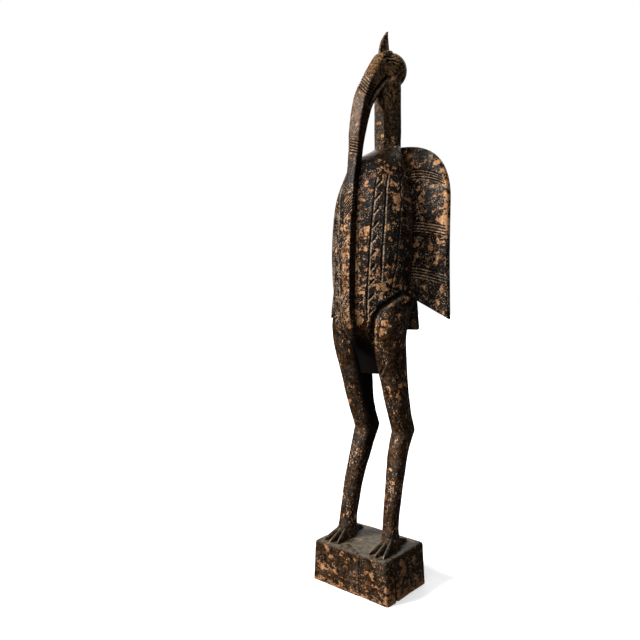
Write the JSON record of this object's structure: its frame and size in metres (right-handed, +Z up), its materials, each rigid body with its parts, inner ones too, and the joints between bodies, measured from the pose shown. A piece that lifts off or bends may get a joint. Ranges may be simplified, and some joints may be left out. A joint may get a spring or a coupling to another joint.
{
  "type": "senufo bird figure",
  "caption": "Carved wooden standing bird with a long beak curving down to its belly, spread wings and bent legs, on a block carved from the same piece.",
  "frame": {"origin": "on the underside of the block, in the bird's middle plane and halfway between the block's front and back", "axes": "+Z up; the bird faces -Y and its left side is at +X"},
  "size_m": [0.3114, 0.2007, 1.188],
  "materials": {
    "painted_wood": "dark paint worn and flaked down to tan wood"
  },
  "bodies": {
    "root": {"hornbill_figure": "painted_wood"}
  },
  "joints": []
}
